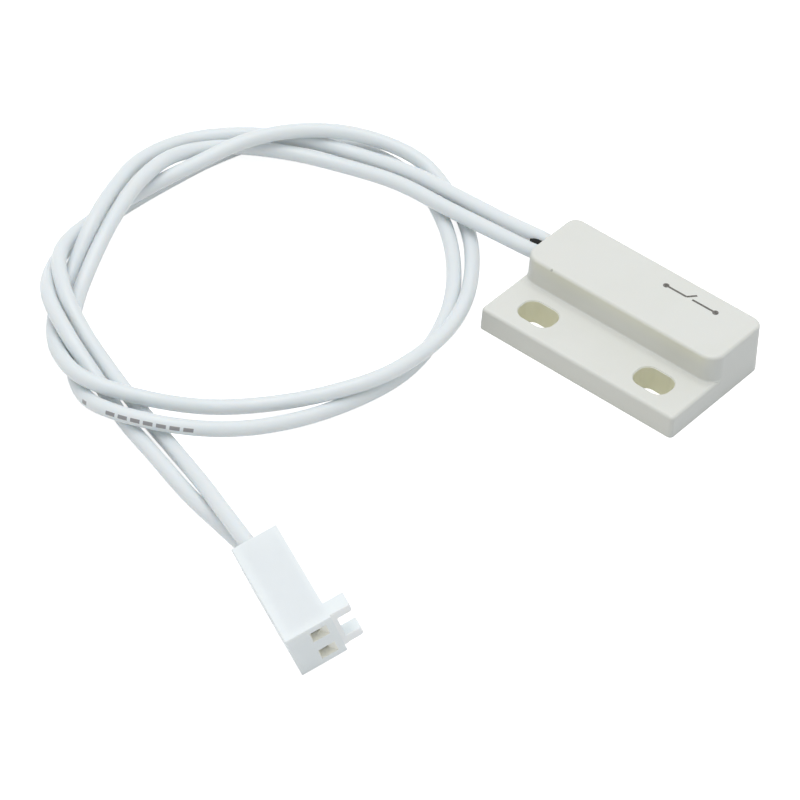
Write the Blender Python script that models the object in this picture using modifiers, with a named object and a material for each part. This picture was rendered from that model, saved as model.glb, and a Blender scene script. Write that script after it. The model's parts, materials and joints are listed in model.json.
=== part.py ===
"""Flange-mount reed sensor with two looped leads and a two-way plug.

The frame has its origin under the middle of the sensor housing, +X along the
housing towards its closed end, +Y towards the raised body and +Z up.
Lengths are in metres.
"""
import math

import bmesh
import bpy
from mathutils import Matrix, Vector

MM = 0.001

# Sensor housing: a flat flange with a raised body along its far side
HOUSING_LENGTH = 23.2 * MM
HOUSING_DEPTH = 14.2 * MM
HOUSING_HEIGHT = 5.5 * MM
WALL_DRAFT = 0.1 * MM
BODY_WIDTH = 8.0 * MM
FLANGE_THICKNESS = 2.5 * MM
BODY_CORNER = 1.2 * MM
FLANGE_CORNER = 0.6 * MM
BODY_EDGE = 0.30 * MM
FLANGE_EDGE = 0.30 * MM
WALL_FOOT_FILLET = 0.25 * MM
FLANGE_ROOT = 2.0 * MM

# The two slots for the fixing screws
SLOT_SPACING = 14.0 * MM
SLOT_WIDTH = 3.05 * MM
SLOT_LENGTH = 4.0 * MM
SLOT_CORNER = 1.2 * MM
SLOT_TO_FRONT = 3.1 * MM
SLOT_EDGE = 0.08 * MM
SLOT_DRAFT = 0.15 * MM

# The pocket in the body, open at the lead end and filled with resin
POCKET_WIDTH = 5.5 * MM
POCKET_HEIGHT = 3.7 * MM
POCKET_END_WALL = 1.9 * MM
POCKET_CORNER = 0.4 * MM
POCKET_MOUTH = 0.15 * MM
RESIN_RECESS = 0.15 * MM
CAST_GAP = 0.05 * MM

# Glass switch capsule, as long as the pocket allows between its tails
CAPSULE_DIAMETER = 2.2 * MM
GLASS_WALL = 0.3 * MM
SEAL_LENGTH = 1.3 * MM
SEAL_GAP = 0.03 * MM
CAPSULE_DOME = 0.6 * MM
CAPSULE_SETBACK = 5.2 * MM
CAPSULE_SIDE = 1.3 * MM
TAIL_ROOM = 1.3 * MM

# Reeds: a round lead outside, a flattened blade inside the glass
REED_LEAD_DIAMETER = 0.5 * MM
REED_LEAD_LENGTH = 2.6 * MM
BLADE_WIDTH = 1.1 * MM
BLADE_THICKNESS = 0.2 * MM
BLADE_OVERLAP = 0.9 * MM
BLADE_NECK = 1.1 * MM
BLADE_SQUARENESS = 4.5
CONTACT_GAP = 0.12 * MM

# Leads: single-core flexible wire, the same at both ends
LEAD_DIAMETER = 1.5 * MM
LEAD_SPREAD = 1.92 * MM
LEAD_RISE = 0.75 * MM
CORE_DIAMETER = 0.6 * MM
LEAD_GAP = 0.1 * MM
END_GAP = 0.05 * MM
NEAR_LEAD_DEPTH = 1.3 * MM
FAR_LEAD_SHORTFALL = 0.8 * MM
TUBE_STEP = 3.3 * MM
ROUTE_SPACING = 6.0 * MM

# Solder joints between a reed and a core, lying side by side
SOLDER_LENGTH = 1.5 * MM
SOLDER_COVER = 0.2 * MM
SOLDER_GAP = 0.06 * MM

# Plug housing; x runs back from the mating face, y to the lug side, z up
PLUG_LENGTH = 12.45 * MM
PLUG_WIDTH = 4.6 * MM
PLUG_PITCH = 2.54 * MM
PLUG_WAYS = 2
PLUG_EDGE = 0.12 * MM
PLUG_FRONT_WALL = 0.8 * MM
CAVITY_WIDTH = 3.25 * MM
CAVITY_HEIGHT = 2.0 * MM
CAVITY_SIDE_WALL = 0.5 * MM
PIN_OPENING_WIDTH = 1.65 * MM
PIN_OPENING_HEIGHT = 1.25 * MM
PIN_OPENING_MARGIN = 0.2 * MM
WINDOW_LENGTH = 1.4 * MM
WINDOW_HEIGHT = 1.0 * MM
LUG_REACH = 2.0 * MM
LUG_THICKNESS = 1.0 * MM
LUG_LENGTH = 1.3 * MM
LUG_SETBACK = 0.2 * MM
LUG_LOW_MARGIN = 0.55 * MM
LUG_CHAMFER = 0.2 * MM
LUG_PAD = 0.45 * MM
PLUG_LEAD_DEPTH = 3.2 * MM

# Crimp terminals, with their floor against the plug's side away from the lugs
SHEET = 0.15 * MM
CONTACT_WIDTH = 1.7 * MM
CONTACT_HEIGHT = 3.0 * MM
CONTACT_LENGTH = 3.8 * MM
CONTACT_SETBACK = 0.3 * MM
STRIP_WIDTH = 1.3 * MM
TERMINAL_FLOOR = 0.08 * MM
GRIP_LENGTH = 1.8 * MM
GRIP_BACK = 1.2 * MM
GRIP_GAP = 0.05 * MM
GRIP_OPENING = 1.0 * MM
CORE_GRIP_LENGTH = 2.0 * MM
CORE_GRIP_WALL = 0.2 * MM
CORE_GRIP_GAP = 0.03 * MM
CORE_GRIP_BACK = 4.3 * MM
TANG_RISE = 0.45 * MM
TANG_LENGTH = 0.9 * MM
TANG_WIDTH = 0.65 * MM
TANG_GAP = 0.1 * MM

# Where the plug lies: its low front corner, its heading and its roll
PLUG_CORNER = Vector((6.4, -53.9, 0.0)) * MM
PLUG_HEADING = math.radians(-26.5)
PLUG_ROLL = math.radians(21.3)

# Routes of the leads in mm, chosen by hand, from the sensor to the plug.
# Each makes two loose turns; heights over 0.8 pass over the lead below.
ROUTE_A = [
    (-17.3, 4.15, 3.0), (-23.3, 4.0, 2.5), (-29.3, 4.2, 2.4), (-35.6, 3.2, 1.8),
    (-41.0, 1.1, 1.9), (-45.5, -2.9, 2.5), (-48.7, -7.8, 2.8), (-49.4, -13.4, 3.4),
    (-48.1, -18.6, 3.9), (-46.05, -24.15, 3.8), (-44.15, -29.5, 1.2), (-41.4, -34.55, 0.9),
    (-37.4, -38.4, 1.6), (-32.0, -40.55, 2.8), (-26.4, -38.4, 2.4), (-22.1, -34.4, 1.3),
    (-18.2, -29.85, 1.1), (-14.35, -25.65, 2.15), (-11.95, -20.15, 2.5), (-11.65, -13.6, 2.4),
    (-13.3, -7.8, 1.7), (-16.3, -2.5, 1.0), (-20.3, 2.1, 0.8), (-25.05, 5.85, 0.9),
    (-30.7, 7.1, 1.7), (-36.2, 4.8, 2.9), (-40.6, 0.9, 3.5), (-43.55, -4.3, 3.65),
    (-45.5, -10.1, 2.9), (-46.9, -15.8, 2.3), (-47.4, -21.9, 2.3), (-46.5, -28.1, 2.5),
    (-41.95, -32.8, 3.35), (-37.2, -35.1, 2.1), (-31.4, -37.1, 1.2), (-26.1, -38.8, 0.8),
    (-20.8, -40.5, 0.8), (-15.5, -42.8, 1.8), (-9.7, -45.8, 3.3),
]
ROUTE_B = [
    (-17.3, 2.2, 2.8), (-23.4, 2.2, 2.5), (-29.6, 2.25, 2.0), (-35.65, 1.1, 1.5),
    (-41.1, -1.2, 1.6), (-45.4, -5.15, 2.25), (-47.4, -10.7, 3.4), (-46.8, -16.3, 4.1),
    (-45.25, -21.75, 3.8), (-43.25, -27.4, 2.3), (-40.7, -32.55, 1.0), (-37.05, -36.9, 0.8),
    (-32.5, -40.55, 1.0), (-27.95, -41.75, 2.2), (-22.1, -39.5, 2.4), (-18.1, -35.3, 1.6),
    (-15.1, -29.9, 1.0), (-13.0, -23.9, 0.8), (-12.1, -18.2, 0.8), (-12.9, -12.65, 0.8),
    (-15.2, -7.1, 0.8), (-18.7, -2.3, 0.8), (-23.1, 1.7, 0.8), (-28.6, 4.2, 0.8),
    (-34.5, 5.1, 0.8), (-40.2, 3.9, 0.8), (-44.5, -0.3, 0.8), (-46.4, -5.7, 0.8),
    (-47.3, -11.75, 0.8), (-47.8, -17.9, 0.8), (-47.9, -24.15, 0.8), (-46.5, -29.2, 1.15),
    (-42.75, -34.0, 2.7), (-37.45, -37.05, 2.8), (-31.9, -38.75, 1.3), (-26.8, -40.7, 0.8),
    (-21.3, -42.4, 0.8), (-15.7, -44.1, 0.8), (-9.5, -45.75, 1.4),
]

# Worked out from the sizes above
LEAD_END = -HOUSING_LENGTH / 2
BODY_FRONT = HOUSING_DEPTH / 2 - BODY_WIDTH
BODY_MIDDLE = HOUSING_DEPTH / 2 - BODY_WIDTH / 2
AXIS_HEIGHT = HOUSING_HEIGHT / 2
LEAD_HEIGHT = AXIS_HEIGHT + LEAD_RISE
REED_Y = BODY_MIDDLE - CAPSULE_SIDE
LAP = (REED_LEAD_DIAMETER + CORE_DIAMETER) / 2 + SOLDER_GAP
LAP_Y = REED_Y + LAP
POCKET_END = HOUSING_LENGTH / 2 - POCKET_END_WALL
CAPSULE_LEFT = LEAD_END + CAPSULE_SETBACK
CAPSULE_RIGHT = POCKET_END - TAIL_ROOM - REED_LEAD_LENGTH
CAPSULE_LENGTH = CAPSULE_RIGHT - CAPSULE_LEFT
CAPSULE_MIDDLE = (CAPSULE_LEFT + CAPSULE_RIGHT) / 2
FAR_LEAD_DEPTH = CAPSULE_RIGHT - FAR_LEAD_SHORTFALL - LEAD_END
LEAD_A_Y = BODY_MIDDLE + LEAD_SPREAD / 2
LEAD_B_Y = BODY_MIDDLE - LEAD_SPREAD / 2
PLUG_HEIGHT = PLUG_PITCH * PLUG_WAYS
CAVITY_FAR = PLUG_WIDTH - CAVITY_SIDE_WALL
CAVITY_NEAR = CAVITY_FAR - CAVITY_WIDTH
PIN_OPENING_FAR = CAVITY_FAR - PIN_OPENING_MARGIN
GRIP_RADIUS = CAVITY_HEIGHT / 2 - TERMINAL_FLOOR
PLUG_LEAD_Y = CAVITY_NEAR + TERMINAL_FLOOR + GRIP_RADIUS
CONTACT_FRONT = -PLUG_FRONT_WALL - CONTACT_SETBACK
CONTACT_BACK = CONTACT_FRONT - CONTACT_LENGTH
CORE_GRIP_RADIUS = CORE_DIAMETER / 2 + CORE_GRIP_GAP + CORE_GRIP_WALL
CORE_GRIP_Z = CORE_GRIP_RADIUS - GRIP_RADIUS

# Fineness of round shapes
CORNER_STEPS = 5
EDGE_STEPS = 3
ROUND_SIDES = 24
SMALL_SIDES = 16
WIRE_RESOLUTION = 2
CURVE_STEPS = 24

# How far a cutter runs past what it cuts, and how near points are welded
OVERRUN = 1.0 * MM
WELD = 0.001 * MM


def clear_scene():
    """Remove every object and start two collections, one for cutters."""
    for item in list(bpy.data.objects):
        bpy.data.objects.remove(item, do_unlink=True)
    made = []
    for name in ("reed_sensor", "cutters"):
        group = bpy.data.collections.new(name)
        bpy.context.scene.collection.children.link(group)
        made.append(group)
    return made


PARTS, CUTTERS = clear_scene()


def material(name, colour, roughness, metallic=0.0, transmission=0.0):
    """Make a Principled material."""
    made = bpy.data.materials.new(name)
    made.use_nodes = True
    shader = made.node_tree.nodes["Principled BSDF"]
    shader.inputs["Base Color"].default_value = (*colour, 1.0)
    shader.inputs["Roughness"].default_value = roughness
    shader.inputs["Metallic"].default_value = metallic
    shader.inputs["Transmission Weight"].default_value = transmission
    made.diffuse_color = (*colour, 1.0)
    return made


PBT = material("housing_pbt", (0.72, 0.73, 0.69), 0.45)
PVC = material("lead_pvc", (0.78, 0.83, 0.86), 0.4)
NYLON = material("plug_nylon", (0.80, 0.86, 0.88), 0.4)
RESIN = material("potting_resin", (0.012, 0.012, 0.013), 0.3)
GLASS = material("capsule_glass", (0.75, 0.90, 0.82), 0.05, transmission=0.9)
ALLOY = material("reed_alloy", (0.62, 0.60, 0.56), 0.3, metallic=1.0)
SOLDER = material("solder", (0.66, 0.66, 0.67), 0.35, metallic=1.0)
COPPER = material("tinned_copper", (0.75, 0.70, 0.64), 0.35, metallic=1.0)
TIN = material("tinned_brass", (0.72, 0.68, 0.58), 0.3, metallic=1.0)


def mesh_object(name, bm, group, look=None, matrix=None):
    """Turn a bmesh into an object in a collection."""
    bmesh.ops.recalc_face_normals(bm, faces=bm.faces)
    if bm.calc_volume(signed=True) < 0:
        bmesh.ops.reverse_faces(bm, faces=bm.faces)
    mesh = bpy.data.meshes.new(name)
    bm.to_mesh(mesh)
    bm.free()
    made = bpy.data.objects.new(name, mesh)
    group.objects.link(made)
    if look:
        mesh.materials.append(look)
    if matrix:
        made.matrix_world = matrix
    return made


def loft(sections):
    """Skin a row of closed sections with equal point counts and cap the ends."""
    bm = bmesh.new()
    rings = [[bm.verts.new(point) for point in section] for section in sections]
    count = len(rings[0])
    for low, high in zip(rings, rings[1:]):
        for i in range(count):
            j = (i + 1) % count
            bm.faces.new((low[i], low[j], high[j], high[i]))
    bm.faces.new(rings[0])
    bm.faces.new(rings[-1])
    return bm


def rounded_rectangle(low, high, radii):
    """Points of a rectangle whose corners, from low-low round, have these radii."""
    (x0, y0), (x1, y1) = low, high
    corners = [(x0, y0, 1, 1, 180), (x1, y0, -1, 1, 270), (x1, y1, -1, -1, 0), (x0, y1, 1, -1, 90)]
    points = []
    for (x, y, sx, sy, start), radius in zip(corners, radii):
        for step in range(CORNER_STEPS + 1):
            angle = math.radians(start + 90 * step / CORNER_STEPS)
            points.append((x + sx * radius + radius * math.cos(angle),
                           y + sy * radius + radius * math.sin(angle)))
    return points


def edge_round(size):
    """Pairs of inset and drop along a quarter round, from the wall to the top."""
    steps = [math.radians(90 * k / EDGE_STEPS) for k in range(EDGE_STEPS + 1)]
    return [(size * (1 - math.cos(a)), size * (1 - math.sin(a))) for a in steps]


def block(low, high, corner, edge):
    """Sections of a block with rounded upright corners and a rounded top edge."""
    levels = [(low[2], 0.0)] + [(high[2] - drop, inset) for inset, drop in edge_round(edge)]
    sections = []
    for z, inset in levels:
        outline = rounded_rectangle((low[0] + inset, low[1] + inset),
                                    (high[0] - inset, high[1] - inset), [corner - inset] * 4)
        sections.append([(x, y, z) for x, y in outline])
    return sections


def along_x(outline, x):
    """Stand an outline of (y, z) pairs up at x."""
    return [(x, y, z) for y, z in outline]


def rod(start, end, radius, sides=ROUND_SIDES):
    """A straight round bar between two points."""
    axis = Vector(end) - Vector(start)
    bm = bmesh.new()
    bmesh.ops.create_cone(bm, cap_ends=True, segments=sides, radius1=radius, radius2=radius,
                          depth=axis.length)
    turn = Vector((0, 0, 1)).rotation_difference(axis).to_matrix().to_4x4()
    bm.transform(Matrix.Translation((Vector(start) + Vector(end)) / 2) @ turn)
    return bm


def box(low, high):
    """A plain box between two corners."""
    size = Vector(high) - Vector(low)
    bm = bmesh.new()
    bmesh.ops.create_cube(bm, size=1.0)
    middle = Matrix.Translation((Vector(low) + Vector(high)) / 2)
    bm.transform(middle @ Matrix.Diagonal((*size, 1)))
    return bm


def combine(target, tool, operation):
    """Add a Boolean modifier that joins or cuts target with tool."""
    tool.hide_render = True
    tool.display_type = "WIRE"
    step = target.modifiers.new(tool.name, "BOOLEAN")
    step.operation = operation
    step.solver = "EXACT"
    step.object = tool


def cut(target, name, bm, matrix=None):
    """Cut a shape out of target."""
    combine(target, mesh_object(name, bm, CUTTERS, matrix=matrix), "DIFFERENCE")


def join(target, name, bm, matrix=None):
    """Weld a shape onto target."""
    combine(target, mesh_object(name, bm, CUTTERS, matrix=matrix), "UNION")


def smooth_path(points, step):
    """Evenly spaced points along a smooth curve through the given points."""
    knots = [Vector(p) for p in points]
    knots = [2 * knots[0] - knots[1]] + knots + [2 * knots[-1] - knots[-2]]
    fine = []
    for a, b, c, d in zip(knots, knots[1:], knots[2:], knots[3:]):
        for k in range(CURVE_STEPS):
            t = k / CURVE_STEPS
            fine.append(0.5 * (2 * b + (c - a) * t + (2 * a - 5 * b + 4 * c - d) * t ** 2
                               + (3 * b - a - 3 * c + d) * t ** 3))
    fine.append(knots[-2])
    lengths = [0.0]
    for p, q in zip(fine, fine[1:]):
        lengths.append(lengths[-1] + (q - p).length)
    count = max(2, round(lengths[-1] / step))
    path, place = [], 0
    for k in range(count + 1):
        wanted = lengths[-1] * k / count
        while place < len(fine) - 2 and lengths[place + 1] < wanted:
            place += 1
        share = (wanted - lengths[place]) / (lengths[place + 1] - lengths[place])
        path.append(fine[place].lerp(fine[place + 1], min(share, 1.0)))
    return path


def wire(name, points, radius, look):
    """A round wire along points, with flat filled ends."""
    curve = bpy.data.curves.new(name, "CURVE")
    curve.dimensions = "3D"
    curve.bevel_depth = radius
    curve.bevel_resolution = WIRE_RESOLUTION
    curve.use_fill_caps = True
    curve.materials.append(look)
    line = curve.splines.new("POLY")
    line.points.add(len(points) - 1)
    for place, point in zip(line.points, points):
        place.co = (*point, 1.0)
    made = bpy.data.objects.new(name, curve)
    PARTS.objects.link(made)
    return made


def wire_cutter(name, points, radius):
    """The same shape as a wire, as a closed mesh that can cut."""
    guide = wire(name + "_guide", points, radius, RESIN)
    bpy.context.view_layer.update()
    seen = guide.evaluated_get(bpy.context.evaluated_depsgraph_get())
    mesh = bpy.data.meshes.new_from_object(seen)
    bm = bmesh.new()
    bm.from_mesh(mesh)
    bmesh.ops.remove_doubles(bm, verts=bm.verts, dist=WELD)
    bpy.data.objects.remove(guide, do_unlink=True)
    bpy.data.meshes.remove(mesh)
    return bm


def slot_sections(centre_x, centre_y):
    """Sections of a slot cutter, drafted, that opens out a little at the flange's top."""
    depth = FLANGE_THICKNESS - SLOT_EDGE
    levels = [(-OVERRUN, -SLOT_DRAFT * (depth + OVERRUN) / depth), (depth, 0.0),
              (FLANGE_THICKNESS, SLOT_EDGE), (FLANGE_THICKNESS + OVERRUN, SLOT_EDGE)]
    sections = []
    for z, more in levels:
        half_x = SLOT_LENGTH / 2 + more
        half_y = SLOT_WIDTH / 2 + more
        outline = rounded_rectangle((centre_x - half_x, centre_y - half_y),
                                    (centre_x + half_x, centre_y + half_y), [SLOT_CORNER + more] * 4)
        sections.append([(x, y, z) for x, y in outline])
    return sections


def body_sections():
    """Sections of the raised body: a filleted foot at its front, a rounded top."""
    levels = [(0.0, WALL_FOOT_FILLET, 0.0)]
    levels += [(FLANGE_THICKNESS + rise, spread, 0.0)
               for spread, rise in reversed(edge_round(WALL_FOOT_FILLET))]
    levels += [(HOUSING_HEIGHT - drop, 0.0, inset) for inset, drop in edge_round(BODY_EDGE)]
    sections = []
    for z, spread, inset in levels:
        outline = rounded_rectangle(
            (-HOUSING_LENGTH / 2 + inset, BODY_FRONT - spread + inset),
            (HOUSING_LENGTH / 2 - inset, HOUSING_DEPTH / 2 - inset), [BODY_CORNER - inset] * 4)
        sections.append([(x, y, z) for x, y in outline])
    return sections


def pocket_sections(shrink, start, end, mouth=0.0):
    """Sections along X of the pocket, or of the resin in it."""
    half_y, half_z = POCKET_WIDTH / 2 - shrink, POCKET_HEIGHT / 2 - shrink
    places = [(start, mouth), (end, 0.0)]
    if mouth:
        places = [(start, mouth), (LEAD_END, mouth), (LEAD_END + mouth, 0.0), (end, 0.0)]
    sections = []
    for x, more in places:
        outline = rounded_rectangle((BODY_MIDDLE - half_y - more, AXIS_HEIGHT - half_z - more),
                                    (BODY_MIDDLE + half_y + more, AXIS_HEIGHT + half_z + more),
                                    [POCKET_CORNER] * 4)
        sections.append(along_x(outline, x))
    return sections


def make_housing():
    """Moulded shell with draft: raised body, flange with two slots, pocket for the switch."""
    housing = mesh_object("housing", loft(body_sections()), PARTS, PBT)
    flange = block((-HOUSING_LENGTH / 2, -HOUSING_DEPTH / 2, 0.0),
                   (HOUSING_LENGTH / 2, BODY_FRONT + FLANGE_ROOT, FLANGE_THICKNESS),
                   FLANGE_CORNER, FLANGE_EDGE)
    join(housing, "flange_form", loft(flange))
    draft = housing.modifiers.new("draft", "SIMPLE_DEFORM")
    draft.deform_method = "TAPER"
    draft.deform_axis = "Z"
    draft.factor = -WALL_DRAFT / (HOUSING_LENGTH / 2)
    slot_y = -HOUSING_DEPTH / 2 + SLOT_TO_FRONT
    for side, name in ((-1, "slot_left"), (1, "slot_right")):
        cut(housing, name, loft(slot_sections(side * SLOT_SPACING / 2, slot_y)))
    cut(housing, "pocket", loft(pocket_sections(0.0, LEAD_END - OVERRUN, POCKET_END, POCKET_MOUTH)))


def reed_axis(x):
    """A point on the capsule's axis."""
    return Vector((x, REED_Y, AXIS_HEIGHT))


def make_capsule():
    """Glass tube drawn in at both ends round the reeds, a turned profile."""
    outer, inner = CAPSULE_DIAMETER / 2, CAPSULE_DIAMETER / 2 - GLASS_WALL
    throat = REED_LEAD_DIAMETER / 2 + SEAL_GAP
    half = CAPSULE_LENGTH / 2
    seal_end, room_end = half - SEAL_LENGTH, half - SEAL_LENGTH - (inner - throat)
    shoulder = [(outer - inset, half - drop) for inset, drop in reversed(edge_round(CAPSULE_DOME))]
    profile = [(throat, half)] + shoulder
    profile += [(r, -z) for r, z in reversed(shoulder)] + [(throat, -half)]
    profile += [(throat, -seal_end), (inner, -room_end), (inner, room_end), (throat, seal_end)]
    mesh = bpy.data.meshes.new("glass_capsule")
    count = len(profile)
    mesh.from_pydata([(r, 0.0, z) for r, z in profile],
                     [(i, (i + 1) % count) for i in range(count)], [])
    capsule = bpy.data.objects.new("glass_capsule", mesh)
    PARTS.objects.link(capsule)
    mesh.materials.append(GLASS)
    turn = capsule.modifiers.new("turn", "SCREW")
    turn.steps = turn.render_steps = ROUND_SIDES
    turn.use_merge_vertices = True
    turn.merge_threshold = WELD
    turn.use_normal_calculate = True
    capsule.matrix_world = Matrix.Translation(reed_axis(CAPSULE_MIDDLE)) @ Matrix.Rotation(
        math.radians(90), 4, "Y")


def reed_section(x, flatness, offset):
    """One section of a reed: a circle at flatness 0, the blade's flat bar at 1."""
    start = REED_LEAD_DIAMETER / 2
    half_y = start + flatness * (BLADE_WIDTH / 2 - start)
    half_z = start + flatness * (BLADE_THICKNESS / 2 - start)
    power = 2 / (2 + flatness * (BLADE_SQUARENESS - 2))
    points = []
    for k in range(SMALL_SIDES):
        angle = math.radians(360 * k / SMALL_SIDES)
        c, s = math.cos(angle), math.sin(angle)
        points.append((x, half_y * math.copysign(abs(c) ** power, c),
                       flatness * offset + half_z * math.copysign(abs(s) ** power, s)))
    return points


def make_reed(name, side):
    """One reed, its flat blade above the axis on the left and below on the right."""
    offset = -side * (CONTACT_GAP + BLADE_THICKNESS) / 2
    seal_end = CAPSULE_LENGTH / 2 - SEAL_LENGTH
    stations = [(CAPSULE_LENGTH / 2 + REED_LEAD_LENGTH, 0.0)]
    stations += [(seal_end - BLADE_NECK * share, share * share * (3 - 2 * share))
                 for share in (0.0, 0.3, 0.65, 1.0)]
    stations += [(-BLADE_OVERLAP / 2, 1.0)]
    sections = [reed_section(side * x, flatness, offset) for x, flatness in stations]
    place = bpy.data.objects.new(name + "_bend", None)
    place.location = reed_axis(CAPSULE_MIDDLE + side * seal_end)
    PARTS.objects.link(place)
    reed = mesh_object(name, loft(sections), PARTS, ALLOY)
    reed.parent = place
    reed.location = (-side * seal_end, 0.0, 0.0)


def core_route(start, side):
    """A bare core from its insulation down and round to the lap beside a reed lead."""
    x, y, z = start
    lap = REED_LEAD_LENGTH - SOLDER_LENGTH / 2
    lap_start = CAPSULE_LEFT - REED_LEAD_LENGTH if side < 0 else CAPSULE_RIGHT + SOLDER_LENGTH / 2
    step = (lap_start - x) / 3
    bend = [(x + k * step, y + share * (LAP_Y - y), z + share * (AXIS_HEIGHT - z))
            for k, share in enumerate((0.0, 0.25, 0.75, 1.0))]
    return bend + [(lap_start + lap * share, LAP_Y, AXIS_HEIGHT) for share in (0.5, 1.0)]


def solder_place(side):
    """Middle of the solder joint on one end of the capsule."""
    tail = REED_LEAD_LENGTH - SOLDER_LENGTH / 2 - CORE_DIAMETER / 4
    x = CAPSULE_MIDDLE + side * (CAPSULE_LENGTH / 2 + tail)
    return Vector((x, (REED_Y + LAP_Y) / 2, AXIS_HEIGHT))


def solder_form(side, grow=0.0):
    """A lump of solder round a reed lead and a core."""
    bm = bmesh.new()
    bmesh.ops.create_uvsphere(bm, u_segments=SMALL_SIDES, v_segments=SMALL_SIDES // 2, radius=1.0)
    half_y = (LAP + REED_LEAD_DIAMETER / 2 + CORE_DIAMETER / 2) / 2 + SOLDER_COVER
    half = (SOLDER_LENGTH / 2 + grow, half_y + grow, CORE_DIAMETER / 2 + SOLDER_COVER + grow)
    bm.transform(Matrix.Translation(solder_place(side)) @ Matrix.Diagonal((*half, 1)))
    return bm


CORE_STARTS = {
    "b": (LEAD_END + NEAR_LEAD_DEPTH + END_GAP, LEAD_B_Y, LEAD_HEIGHT),
    "a": (LEAD_END + FAR_LEAD_DEPTH + END_GAP, LEAD_A_Y, LEAD_HEIGHT),
}


def make_sensor_cores():
    """Bare core ends, and the solder that holds each to its reed."""
    for lead, side in (("b", -1), ("a", 1)):
        path = smooth_path(core_route(CORE_STARTS[lead], side), CORE_DIAMETER / 2)
        wire(f"core_{lead}_sensor", path, CORE_DIAMETER / 2, COPPER)
        lump = mesh_object(f"solder_joint_{lead}", solder_form(side), PARTS, SOLDER)
        middle = solder_place(side)
        reach = Vector((SOLDER_LENGTH, 0, 0))
        for tag, y, diameter in (("reed", REED_Y, REED_LEAD_DIAMETER), ("core", LAP_Y, CORE_DIAMETER)):
            line = Vector((middle.x, y, middle.z))
            cut(lump, f"solder_{lead}_{tag}",
                rod(line - reach, line + reach, diameter / 2 + SOLDER_GAP, SMALL_SIDES))


def make_resin():
    """Potting resin that fills the pocket round the switch and the lead ends."""
    far = POCKET_END - CAST_GAP
    near = LEAD_END + RESIN_RECESS
    resin = mesh_object("potting_resin", loft(pocket_sections(CAST_GAP, near, far)), PARTS, RESIN)
    outside = LEAD_END - OVERRUN
    capsule_room = rod(reed_axis(CAPSULE_LEFT - LEAD_GAP), reed_axis(CAPSULE_RIGHT + LEAD_GAP),
                       CAPSULE_DIAMETER / 2 + LEAD_GAP)
    cut(resin, "room_capsule", capsule_room)
    reach = CAPSULE_LENGTH / 2 + REED_LEAD_LENGTH + LEAD_GAP
    cut(resin, "room_reeds", rod(reed_axis(CAPSULE_MIDDLE - reach), reed_axis(CAPSULE_MIDDLE + reach),
                                 REED_LEAD_DIAMETER / 2 + LEAD_GAP, SMALL_SIDES))
    for lead, side in (("b", -1), ("a", 1)):
        start = CORE_STARTS[lead]
        cut(resin, f"room_lead_{lead}", rod((outside, start[1], start[2]), start,
                                            LEAD_DIAMETER / 2 + LEAD_GAP))
        path = smooth_path(core_route(start, side), CORE_DIAMETER / 2)
        first = Vector(path[0]) - Vector((LEAD_GAP, 0, 0))
        last = Vector(path[-1]) + Vector((LEAD_GAP, 0, 0))
        cut(resin, f"room_core_{lead}", wire_cutter(f"room_core_{lead}", [first] + path + [last],
                                                    CORE_DIAMETER / 2 + LEAD_GAP))
        cut(resin, f"room_solder_{lead}", solder_form(side, LEAD_GAP))


PLUG_FRAME = (Matrix.Translation(PLUG_CORNER) @ Matrix.Rotation(PLUG_HEADING, 4, "Z")
              @ Matrix.Rotation(PLUG_ROLL, 4, "X"))


def way_height(way):
    """Height of a way's middle in the plug's frame."""
    return PLUG_PITCH * (way + 0.5)


def make_plug():
    """Two-way crimp housing with cavities, pin openings, windows and lugs."""
    outline = rounded_rectangle((0.0, 0.0), (PLUG_WIDTH, PLUG_HEIGHT), [PLUG_EDGE] * 4)
    form = loft([along_x(outline, -PLUG_LENGTH), along_x(outline, 0.0)])
    plug = mesh_object("connector_housing", form, PARTS, NYLON, PLUG_FRAME)
    lug_end, lug_start = -LUG_SETBACK, -LUG_SETBACK - LUG_LENGTH
    inside = PLUG_WIDTH - CAVITY_SIDE_WALL / 2
    join(plug, "lug_pad", box((lug_start, inside, LUG_LOW_MARGIN),
                              (lug_end, PLUG_WIDTH + LUG_PAD, PLUG_HEIGHT)), PLUG_FRAME)
    for name, low in (("lug_low", LUG_LOW_MARGIN), ("lug_high", PLUG_HEIGHT - LUG_THICKNESS)):
        tip = PLUG_WIDTH + LUG_REACH
        outline = [(lug_start, inside), (lug_end, inside), (lug_end, tip - LUG_CHAMFER),
                   (lug_end - LUG_CHAMFER, tip), (lug_start, tip)]
        sections = [[(x, y, z) for x, y in outline] for z in (low, low + LUG_THICKNESS)]
        join(plug, name, loft(sections), PLUG_FRAME)
    for way in range(PLUG_WAYS):
        middle, half = way_height(way), CAVITY_HEIGHT / 2
        cut(plug, f"cavity_{way + 1}",
            box((-PLUG_LENGTH - OVERRUN, CAVITY_NEAR, middle - half),
                (-PLUG_FRONT_WALL, CAVITY_FAR, middle + half)), PLUG_FRAME)
        half = PIN_OPENING_HEIGHT / 2
        cut(plug, f"pin_opening_{way + 1}",
            box((-PLUG_FRONT_WALL - OVERRUN, PIN_OPENING_FAR - PIN_OPENING_WIDTH, middle - half),
                (OVERRUN, PIN_OPENING_FAR, middle + half)), PLUG_FRAME)
        start, half = CONTACT_BACK - TANG_GAP, WINDOW_HEIGHT / 2
        cut(plug, f"window_{way + 1}",
            box((start, -OVERRUN, middle - half),
                (start + WINDOW_LENGTH, PLUG_LEAD_Y, middle + half)), PLUG_FRAME)


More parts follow.
